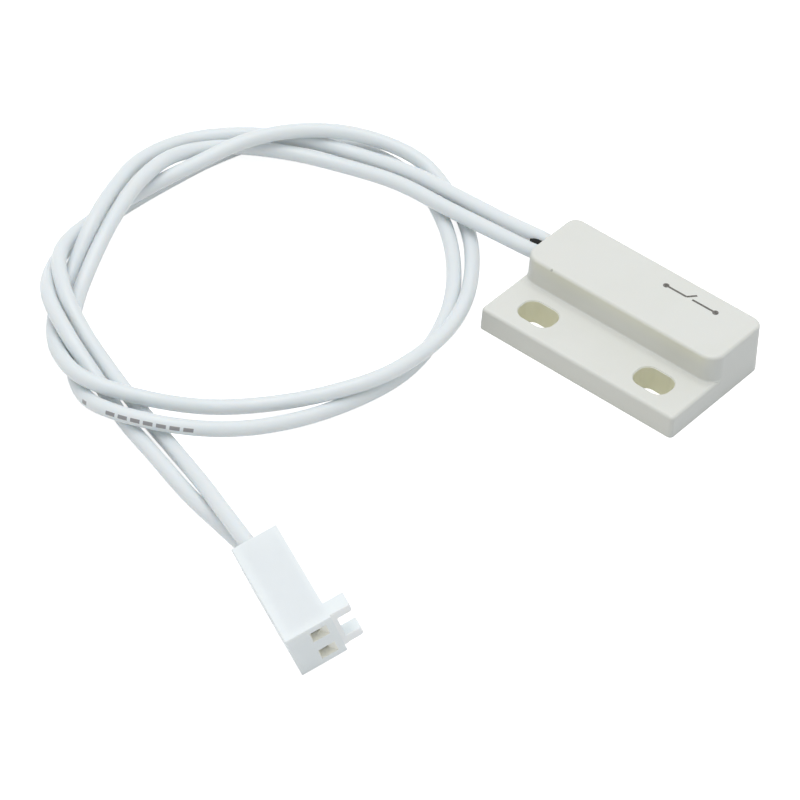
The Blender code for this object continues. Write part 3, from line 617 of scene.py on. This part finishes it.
def lugForm(low, length):
    # a tab with a round front corner and softened upper and lower edges
    inner = plug["width"] - plug["cavitySideWall"] / 2
    high, edge = low + plug["lugThickness"], edgeRound(plug["lugEdge"], steps=4)
    levels = [(low + drop, inset) for inset, drop in reversed(edge)]
    levels += [(high - drop, inset) for inset, drop in edge]
    sections = []
    for z, inset in levels:
        tip, front = plug["width"] + plug["lugReach"] - inset, -plug["lugSetback"] - inset
        back, r = front - length + 2 * inset, plug["lugRound"]
        outline = [(back, inner), (front, inner)]
        for k in range(7):
            angle = math.radians(90 * k / 6)
            outline.append((front - r + r * math.cos(angle), tip - r + r * math.sin(angle)))
        outline.append((back, tip))
        sections.append([(x, y, z) for x, y in outline])
    return loft(sections)


def openingForm(middle):
    # a pin opening that narrows from the mating face inwards, most on its lug side
    far, tall = cavityFar - plug["openingMargin"], plug["openingHeight"] / 2
    near, flare, deep = far - plug["openingWidth"], plug["openingFlare"], plug["flareDepth"]
    stops = ((overrun, 0.0), (0.0, 0.0), (-deep, flare), (-plug["frontWall"] - overrun, flare))
    return loft([[(x, near + more / 2, middle - tall + more), (x, far - 2 * more, middle - tall + more),
                  (x, far - 2 * more, middle + tall - more), (x, near + more / 2, middle + tall - more)]
                 for x, more in stops])


def inOpening(x, y, z):
    # on the faces just inside a pin opening
    far = cavityFar - plug["openingMargin"]
    offMiddle = min(abs(z - wayHeight(way)) for way in range(plug["ways"]))
    return (-plug["frontWall"] - plug["faceReach"] < x < -plug["faceReach"]
            and far - plug["openingWidth"] <= y <= far and offMiddle <= plug["openingHeight"] / 2)


def makePlug():
    p = plug
    outline = roundedOutline((0.0, 0.0), (p["width"], plugHeight), p["edge"], steps=4)
    piece = makeObject("plugHousing", loft([[(x, y, z) for y, z in outline] for x in (-p["length"], 0.0)]))
    front = -p["lugSetback"]
    carve(piece, boxForm((front - p["lowLug"], p["width"] - p["cavitySideWall"] / 2, p["lugLowMargin"]),
                         (front, p["width"] + p["lugPad"], plugHeight)), "UNION")
    for low, length in ((p["lugLowMargin"], p["lowLug"]), (plugHeight - p["lugThickness"], p["highLug"])):
        carve(piece, lugForm(low, length), "UNION")
    for way in range(p["ways"]):
        middle, tall = wayHeight(way), p["cavityHeight"] / 2
        carve(piece, boxForm((-p["length"] - overrun, cavityFar - p["cavityWidth"], middle - tall),
                             (-p["frontWall"], cavityFar, middle + tall)))
        carve(piece, openingForm(middle))
        tall = p["windowHeight"] / 2
        carve(piece, boxForm((p["windowStart"], -overrun, middle - tall),
                             (p["windowStart"] + p["windowLength"], p["leadY"], middle + tall)))
    softenEdges(piece, p["soften"], segments=2, angle=50)
    piece.data.materials.clear()
    piece.data.materials.append(mouldedPlastic("plugNylon", plugFinish)[0])
    piece.data.materials.append(mouldedPlastic("openingPaintedLight", openingLightFinish)[0])
    piece.data.materials.append(mouldedPlastic("lugPaintedLight", lugLightFinish)[0])
    # painted light: the lugs' front faces and the faces inside the openings take the lighter copies
    for face in piece.data.polygons:
        onLug = face.center.y > p["width"] + p["lugFrom"] and face.normal.x > 0.5
        face.material_index = 2 if onLug else 0
        if inOpening(*face.center):
            face.material_index = 1
    piece.data.transform(plugFrame)
    smoothShade(piece)
    finishPiece(piece, "plug", "connector_housing")
    return piece


plugPiece = makePlug()
print("plug made")


# Leads: swept along the solids' routes, but for small shifts, as points in millimetres
# from the sensor to the plug; each makes two loose turns

routeA = [
    (-17.3, 4.15, 3.02), (-23.3, 4.1, 2.75), (-29.3, 4.15, 2.36), (-35.6, 3.2, 1.8),
    (-41.0, 1.1, 1.9), (-45.5, -2.9, 2.5), (-48.7, -7.8, 2.8), (-49.4, -13.4, 3.4),
    (-48.1, -18.6, 3.9), (-46.05, -24.15, 3.8), (-44.15, -29.5, 1.2), (-41.4, -34.55, 0.9),
    (-37.4, -38.4, 1.6), (-32.0, -40.55, 2.8), (-26.4, -38.4, 2.4), (-22.1, -34.4, 1.3),
    (-18.2, -29.85, 1.1), (-14.35, -25.65, 2.15), (-11.95, -20.15, 2.5), (-11.65, -13.6, 2.4),
    (-13.3, -7.8, 1.7), (-16.3, -2.5, 1.0), (-20.3, 2.1, 0.8), (-25.05, 5.25, 0.9),
    (-30.7, 6.9, 1.7), (-36.2, 4.8, 2.9), (-40.6, 0.9, 3.5), (-43.55, -4.3, 3.65),
    (-45.5, -10.1, 2.9), (-46.9, -15.8, 2.3), (-47.4, -21.9, 2.3), (-46.5, -28.1, 2.5),
    (-41.95, -32.8, 3.35), (-37.2, -35.1, 2.1), (-31.4, -37.1, 1.2), (-26.1, -38.8, 0.8),
    (-20.8, -40.5, 0.8), (-15.5, -42.8, 1.8), (-9.7, -45.8, 3.3),
]
routeB = [
    (-17.3, 2.2, 2.9), (-23.4, 2.2, 2.5), (-29.6, 2.3, 2.06), (-35.65, 1.15, 1.55),
    (-41.1, -1.2, 1.6), (-45.4, -5.15, 2.25), (-47.4, -10.7, 3.4), (-46.8, -16.3, 4.1),
    (-45.25, -21.75, 3.8), (-43.25, -27.4, 2.3), (-40.7, -32.55, 1.0), (-37.05, -36.9, 0.8),
    (-32.5, -40.55, 1.0), (-27.95, -41.75, 2.2), (-22.1, -39.5, 2.4), (-18.1, -35.3, 1.6),
    (-15.1, -29.9, 1.0), (-13.0, -23.9, 0.8), (-12.1, -18.2, 0.8), (-12.9, -12.65, 0.8),
    (-15.2, -7.1, 0.8), (-18.7, -2.3, 0.8), (-23.1, 1.7, 0.8), (-28.6, 4.85, 0.8),
    (-34.5, 5.4, 0.8), (-40.2, 3.9, 0.8), (-44.5, -0.3, 0.8), (-46.4, -5.7, 0.8),
    (-47.3, -11.75, 0.8), (-47.8, -17.9, 0.8), (-47.9, -24.15, 0.8), (-46.5, -29.2, 1.15),
    (-42.75, -34.0, 2.7), (-37.45, -37.05, 2.8), (-31.9, -38.75, 1.3), (-26.8, -40.7, 0.8),
    (-21.3, -42.4, 0.8), (-15.7, -44.1, 0.8), (-9.5, -45.75, 1.4),
]
leads = {
    "diameter": 1.5 * mm, "spread": 1.92 * mm, "rise": 0.75 * mm, "sides": 24, "step": 0.9 * mm,
    "routeSpacing": 6.0 * mm,
    "asideOut": 0.3 * mm, "asideIn": 0.15 * mm,  # how far aside each comes to the plug and enters it
}
# depth is how far each runs into the sensor, and drop how far it sinks just outside
leadPlans = {
    "leadA": {"route": routeA, "side": 1, "way": 1, "length": 259.7 * mm,
              "depth": 16.6 * mm, "drop": 0.0, "node": "lead_a"},
    "leadB": {"route": routeB, "side": -1, "way": 0, "length": 242.1 * mm,
              "depth": 1.3 * mm, "drop": 0.25 * mm, "node": "lead_b"},
}
leadHeight = axisHeight + leads["rise"]
leadFinish = {
    "colour": (0.755, 0.80, 0.82), "flowColour": (0.715, 0.765, 0.78), "flow": 0.35,
    "grain": 0.10, "roughness": 0.40, "ior": 1.52,
    "scatter": 0.75, "scatterRadius": (1.6, 1.35, 1.15),
}
leadPrint = {
    "colour": (0.31, 0.31, 0.32), "start": 83.7 * mm, "end": 92.1 * mm,  # along lead B from its sensor end
    "dash": 1.2 * mm, "share": 0.74, "side": 0.988, "halfWidth": 0.042,  # round the lead, in turns
    "loneMark": 81.0 * mm, "loneLength": 0.7 * mm,
}


def smoothPath(points, step, curveSteps=24):
    # evenly spaced points along a smooth curve through the given points
    knots = [Vector(p) for p in points]
    knots = [2 * knots[0] - knots[1]] + knots + [2 * knots[-1] - knots[-2]]
    fine = []
    for a, b, c, d in zip(knots, knots[1:], knots[2:], knots[3:]):
        for k in range(curveSteps):
            t = k / curveSteps
            fine.append(0.5 * (2 * b + (c - a) * t + (2 * a - 5 * b + 4 * c - d) * t ** 2
                               + (3 * b - a - 3 * c + d) * t ** 3))
    fine.append(knots[-2])
    lengths = [0.0]
    for p, q in zip(fine, fine[1:]):
        lengths.append(lengths[-1] + (q - p).length)
    count = max(2, round(lengths[-1] / step))
    path, place = [], 0
    for k in range(count + 1):
        wanted = lengths[-1] * k / count
        while place < len(fine) - 2 and lengths[place + 1] < wanted:
            place += 1
        share = (wanted - lengths[place]) / (lengths[place + 1] - lengths[place])
        path.append(fine[place].lerp(fine[place + 1], min(share, 1.0)))
    return path


def leadPath(plan, y):
    depth = plan["depth"]
    count = max(1, round(depth / leads["routeSpacing"]))
    inside = [Vector((leadEnd + depth * (1 - k / count), y, leadHeight)) for k in range(count + 1)]
    inside.append(Vector((leadEnd - leads["diameter"], y, leadHeight - plan["drop"])))
    stops = ((-leads["diameter"], leads["asideOut"]), (0.0, leads["asideIn"]), (plug["leadDepth"], 0.0))
    ends = [plugFrame @ Vector((-plug["length"] + run, plug["leadY"] - aside, wayHeight(plan["way"])))
            for run, aside in stops]
    return smoothPath(inside + [Vector(p) * mm for p in plan["route"]] + ends, leads["step"])


def sweepTree():
    # sweeps a round wire along a line of points, and stores how far along each point is
    # and where it lies round the wire
    tree = bpy.data.node_groups.new("leadSweep", "GeometryNodeTree")
    ids = {}
    for label, kind in (("Route", "NodeSocketGeometry"), ("Radius", "NodeSocketFloat"),
                        ("Sides", "NodeSocketInt"), ("Material", "NodeSocketMaterial")):
        ids[label] = tree.interface.new_socket(name=label, in_out="INPUT", socket_type=kind).identifier
    tree.interface.new_socket(name="Wire", in_out="OUTPUT", socket_type="NodeSocketGeometry")
    new, join = tree.nodes.new, tree.links.new
    given, made = new("NodeGroupInput"), new("NodeGroupOutput")
    toCurve = new("GeometryNodeMeshToCurve")
    join(given.outputs["Route"], toCurve.inputs[0])
    place = new("GeometryNodeSplineParameter")
    keepAlong = new("GeometryNodeCaptureAttribute")
    keepAlong.capture_items.new("FLOAT", "along")
    join(toCurve.outputs[0], keepAlong.inputs[0])
    join(place.outputs["Length"], keepAlong.inputs["along"])
    ring = new("GeometryNodeCurvePrimitiveCircle")
    join(given.outputs["Sides"], ring.inputs["Resolution"])
    join(given.outputs["Radius"], ring.inputs["Radius"])
    ringPlace = new("GeometryNodeInputPosition")
    keepRound = new("GeometryNodeCaptureAttribute")
    keepRound.capture_items.new("VECTOR", "round")
    join(ring.outputs[0], keepRound.inputs[0])
    join(ringPlace.outputs[0], keepRound.inputs["round"])
    sweep = new("GeometryNodeCurveToMesh")
    sweep.inputs["Fill Caps"].default_value = True
    join(keepAlong.outputs[0], sweep.inputs["Curve"])
    join(keepRound.outputs[0], sweep.inputs["Profile Curve"])
    last = sweep.outputs[0]
    for label, kept, kind in (("along", keepAlong, "FLOAT"), ("round", keepRound, "FLOAT_VECTOR")):
        store = new("GeometryNodeStoreNamedAttribute")
        store.data_type = kind
        store.inputs["Name"].default_value = label
        join(last, store.inputs["Geometry"])
        join(kept.outputs[label], store.inputs["Value"])
        last = store.outputs[0]
    smooth = new("GeometryNodeSetShadeSmooth")
    realize = new("GeometryNodeRealizeInstances")
    paint = new("GeometryNodeSetMaterial")
    join(last, smooth.inputs[0])
    join(smooth.outputs[0], realize.inputs[0])
    join(realize.outputs[0], paint.inputs[0])
    join(given.outputs["Material"], paint.inputs["Material"])
    join(paint.outputs[0], made.inputs[0])
    return tree, ids


leadSweep, sweepIds = sweepTree()


def leadMaterial(name, printed=False):
    made, tree, shader, effect = mouldedPlastic(name, leadFinish)
    if not printed:
        return made
    # a row of plain printed dashes
    p = leadPrint
    place = {}
    for label in ("along", "round"):
        place[label] = tree.nodes.new("ShaderNodeAttribute")
        place[label].attribute_name = label
    along = place["along"].outputs["Fac"]
    after = mathNode(tree, "GREATER_THAN", along, p["start"])
    before = mathNode(tree, "LESS_THAN", along, p["end"])
    cycle = mathNode(tree, "FRACT", mathNode(tree, "DIVIDE", mathNode(tree, "SUBTRACT", along, p["start"]),
                                             p["dash"]))
    inked = mathNode(tree, "LESS_THAN", cycle, p["share"])
    row = mathNode(tree, "MULTIPLY", mathNode(tree, "MULTIPLY", after, before), inked)
    lone = mathNode(tree, "COMPARE", along, p["loneMark"], p["loneLength"] / 2)
    outward, facing = tree.nodes.new("ShaderNodeVectorMath"), tree.nodes.new("ShaderNodeVectorMath")
    outward.operation, facing.operation = "NORMALIZE", "DOT_PRODUCT"
    angle = 2 * math.pi * p["side"]
    facing.inputs[1].default_value = (math.cos(angle), math.sin(angle), 0)
    link(tree, place["round"].outputs["Vector"], outward.inputs[0])
    link(tree, outward.outputs[0], facing.inputs[0])
    onSide = mathNode(tree, "GREATER_THAN", facing.outputs["Value"], math.cos(2 * math.pi * p["halfWidth"]))
    ink = mathNode(tree, "MULTIPLY", mathNode(tree, "MAXIMUM", row, lone), onSide)
    link(tree, mixColour(tree, ink, effect.outputs["Colour"], p["colour"]), shader.inputs["Base Color"])
    return made


def makeLead(name, path, material):
    bm = bmesh.new()
    verts = [bm.verts.new(p) for p in path]
    for a, b in zip(verts, verts[1:]):
        bm.edges.new((a, b))
    mesh = bpy.data.meshes.new(name)
    bm.to_mesh(mesh)
    bm.free()
    piece = bpy.data.objects.new(name, mesh)
    bpy.context.scene.collection.objects.link(piece)
    sweep = piece.modifiers.new("sweep", "NODES")
    sweep.node_group = leadSweep
    sweep[sweepIds["Radius"]] = leads["diameter"] / 2
    sweep[sweepIds["Sides"]] = leads["sides"]
    sweep[sweepIds["Material"]] = material
    bake(piece)
    bm = bmesh.new()
    bm.from_mesh(piece.data)
    if bm.calc_volume(signed=True) < 0:
        bmesh.ops.reverse_faces(bm, faces=bm.faces)
    bm.to_mesh(piece.data)
    bm.free()
    return piece


def makeLeads():
    insulation = {"leadA": leadMaterial("leadInsulation"),
                  "leadB": leadMaterial("printedInsulation", printed=True)}
    for name, plan in leadPlans.items():
        y = bodyMiddle + plan["side"] * leads["spread"] / 2
        path = leadPath(plan, y)
        piece = makeLead(name, path, insulation[name])
        finishPiece(piece, "lead", plan["node"])


makeLeads()
print("leads made")


# Resin that stands out of the pocket between the leads, as a tapering wedge

bead = {
    "stops": ((0.3, 1.0, 1.0), (-0.7, 1.0, 0.95), (-1.2, 0.95, 0.85), (-1.6, 0.8, 0.7), (-1.9, 0.55, 0.5),
              (-2.1, 0.2, 0.3)),
    "halfWidth": 0.52 * mm, "above": 0.48 * mm, "below": 0.5 * mm, "sides": 20,
}
resinFinish = {
    "colour": (0.004, 0.004, 0.004), "dust": (0.012, 0.012, 0.012), "cloudScale": 900.0,
    "roughness": 0.55, "roughnessSwing": 0.2, "bumpDepth": 0.05 * mm, "bumpStrength": 0.4, "ior": 1.3,
}


def resinMaterial():
    made, tree, shader = startMaterial("pottingResin")
    coords = tree.nodes.new("ShaderNodeTexCoord").outputs["Object"]
    f = resinFinish
    cloud = noiseNode(tree, coords, f["cloudScale"], detail=3.0)
    link(tree, mixColour(tree, cloud, f["colour"], f["dust"]), shader.inputs["Base Color"])
    link(tree, mathNode(tree, "MULTIPLY_ADD", cloud, f["roughnessSwing"], f["roughness"]),
         shader.inputs["Roughness"])
    bump = tree.nodes.new("ShaderNodeBump")
    bump.inputs["Distance"].default_value = f["bumpDepth"]
    bump.inputs["Strength"].default_value = f["bumpStrength"]
    link(tree, cloud, bump.inputs["Height"])
    link(tree, bump.outputs["Normal"], shader.inputs["Normal"])
    shader.inputs["IOR"].default_value = f["ior"]
    return made


pottingResin = resinMaterial()


def makeResinBead():
    sections = []
    for run, wide, tall in bead["stops"]:
        ring = []
        for k in range(bead["sides"]):
            angle = 2 * math.pi * k / bead["sides"]
            reach = bead["above"] if math.sin(angle) > 0 else bead["below"]
            ring.append((leadEnd + run * mm, bodyMiddle + bead["halfWidth"] * wide * math.cos(angle),
                         leadHeight + reach * tall * math.sin(angle)))
        sections.append(ring)
    piece = makeObject("resinBead", loft(sections))
    piece.data.materials.append(pottingResin)
    smoothShade(piece, sharpAngle=60)
    finishPiece(piece, "resin")


makeResinBead()
print("resin bead made")


# Finishes of the nodes that keep their own solids

glassFinish = {
    "colour": (0.86, 0.96, 0.90), "drawn": (0.80, 0.93, 0.86), "drawnScale": 700.0,
    "roughness": 0.03, "ior": 1.48,
}
metals = {
    "reedAlloy": {
        "colour": (0.62, 0.60, 0.56), "tarnish": (0.42, 0.40, 0.36), "amount": 0.35, "roughness": 0.28,
        "nodes": ("reed_left", "reed_right"),
    },
    "solderMetal": {
        "colour": (0.66, 0.66, 0.67), "tarnish": (0.40, 0.40, 0.40), "amount": 0.5, "roughness": 0.33,
        "nodes": ("solder_joint_a", "solder_joint_b"),
    },
    "tinnedCopper": {
        "colour": (0.75, 0.70, 0.64), "tarnish": (0.55, 0.38, 0.25), "amount": 0.4, "roughness": 0.32,
        "nodes": ("core_a_sensor", "core_b_sensor", "core_a_plug", "core_b_plug"),
    },
    "terminalTin": {
        "colour": (0.80, 0.77, 0.69), "tarnish": (0.62, 0.58, 0.48), "amount": 0.35, "roughness": 0.45,
        "nodes": ("terminal_1", "terminal_2"),
    },
}


def glassMaterial():
    made, tree, shader = startMaterial("capsuleGlass")
    coords = tree.nodes.new("ShaderNodeTexCoord").outputs["Object"]
    drawn = noiseNode(tree, coords, glassFinish["drawnScale"])
    link(tree, mixColour(tree, drawn, glassFinish["colour"], glassFinish["drawn"]),
         shader.inputs["Base Color"])
    shader.inputs["Roughness"].default_value = glassFinish["roughness"]
    shader.inputs["Transmission Weight"].default_value = 1.0
    shader.inputs["IOR"].default_value = glassFinish["ior"]
    return made


def dressNode(name, material):
    mesh = frame["nodes"][name].data
    mesh.materials.clear()
    mesh.materials.append(material)


def dressNodes():
    dressNode("potting_resin", pottingResin)
    dressNode("glass_capsule", glassMaterial())
    for name, metal in metals.items():
        material = bareMetal(name, metal)
        for node in metal["nodes"]:
            dressNode(node, material)


dressNodes()
print("inner pieces dressed")


# Floor, world and lamp

studio = {
    "floorSize": 3.0, "floorDrop": 0.03 * mm, "floorWhite": 0.72,
    "floorGlow": 0.80,  # what the camera sees in the floor's deepest shadow
    "ambient": 0.61, "ambientColour": (0.97, 0.99, 1.0),
    "lampSize": 0.9, "lampHeight": 1.1, "lampPower": 5.6, "lampAt": (-0.1, 0.0),
}


def cameraOrGloss(tree):
    # one for rays from the camera, or seen in gloss or through glass
    path = tree.nodes.new("ShaderNodeLightPath")
    both = mathNode(tree, "MAXIMUM", path.outputs["Is Glossy Ray"], path.outputs["Is Transmission Ray"])
    return mathNode(tree, "MAXIMUM", path.outputs["Is Camera Ray"], both)


def makeFloor():
    bm = bmesh.new()
    bmesh.ops.create_grid(bm, x_segments=1, y_segments=1, size=studio["floorSize"] / 2)
    bm.transform(Matrix.Translation((0, 0, -studio["floorDrop"])))
    floor = makeObject("floor", bm)
    made = bpy.data.materials.new("paperFloor")
    made.use_nodes = True
    tree = made.node_tree
    tree.nodes.clear()
    white, glow = tree.nodes.new("ShaderNodeBsdfDiffuse"), tree.nodes.new("ShaderNodeEmission")
    white.inputs["Color"].default_value = (studio["floorWhite"],) * 3 + (1.0,)
    link(tree, mathNode(tree, "MULTIPLY", cameraOrGloss(tree), studio["floorGlow"]),
         glow.inputs["Strength"])
    add, out = tree.nodes.new("ShaderNodeAddShader"), tree.nodes.new("ShaderNodeOutputMaterial")
    link(tree, white.outputs[0], add.inputs[0])
    link(tree, glow.outputs[0], add.inputs[1])
    link(tree, add.outputs[0], out.inputs[0])
    floor.data.materials.append(made)


def makeWorld():
    world = bpy.data.worlds.new("studioWorld")
    bpy.context.scene.world = world
    world.use_nodes = True
    tree = world.node_tree
    tree.nodes.clear()
    seen, ambient = tree.nodes.new("ShaderNodeBackground"), tree.nodes.new("ShaderNodeBackground")
    seen.inputs["Color"].default_value = (1, 1, 1, 1)
    ambient.inputs["Color"].default_value = (*studio["ambientColour"], 1)
    ambient.inputs["Strength"].default_value = studio["ambient"]
    mix, out = tree.nodes.new("ShaderNodeMixShader"), tree.nodes.new("ShaderNodeOutputWorld")
    link(tree, cameraOrGloss(tree), mix.inputs[0])
    link(tree, ambient.outputs[0], mix.inputs[1])
    link(tree, seen.outputs[0], mix.inputs[2])
    link(tree, mix.outputs[0], out.inputs[0])


def makeLamp():
    data = bpy.data.lights.new("softbox", "AREA")
    data.shape, data.size, data.energy = "DISK", studio["lampSize"], studio["lampPower"]
    lamp = bpy.data.objects.new("softbox", data)
    lamp.location = (*studio["lampAt"], studio["lampHeight"])
    lamp.rotation_euler = (-lamp.location).to_track_quat("-Z", "Y").to_euler()
    bpy.context.scene.collection.objects.link(lamp)


makeFloor()
makeWorld()
makeLamp()
bpy.context.scene.view_settings.view_transform = "Standard"
print("studio lit")
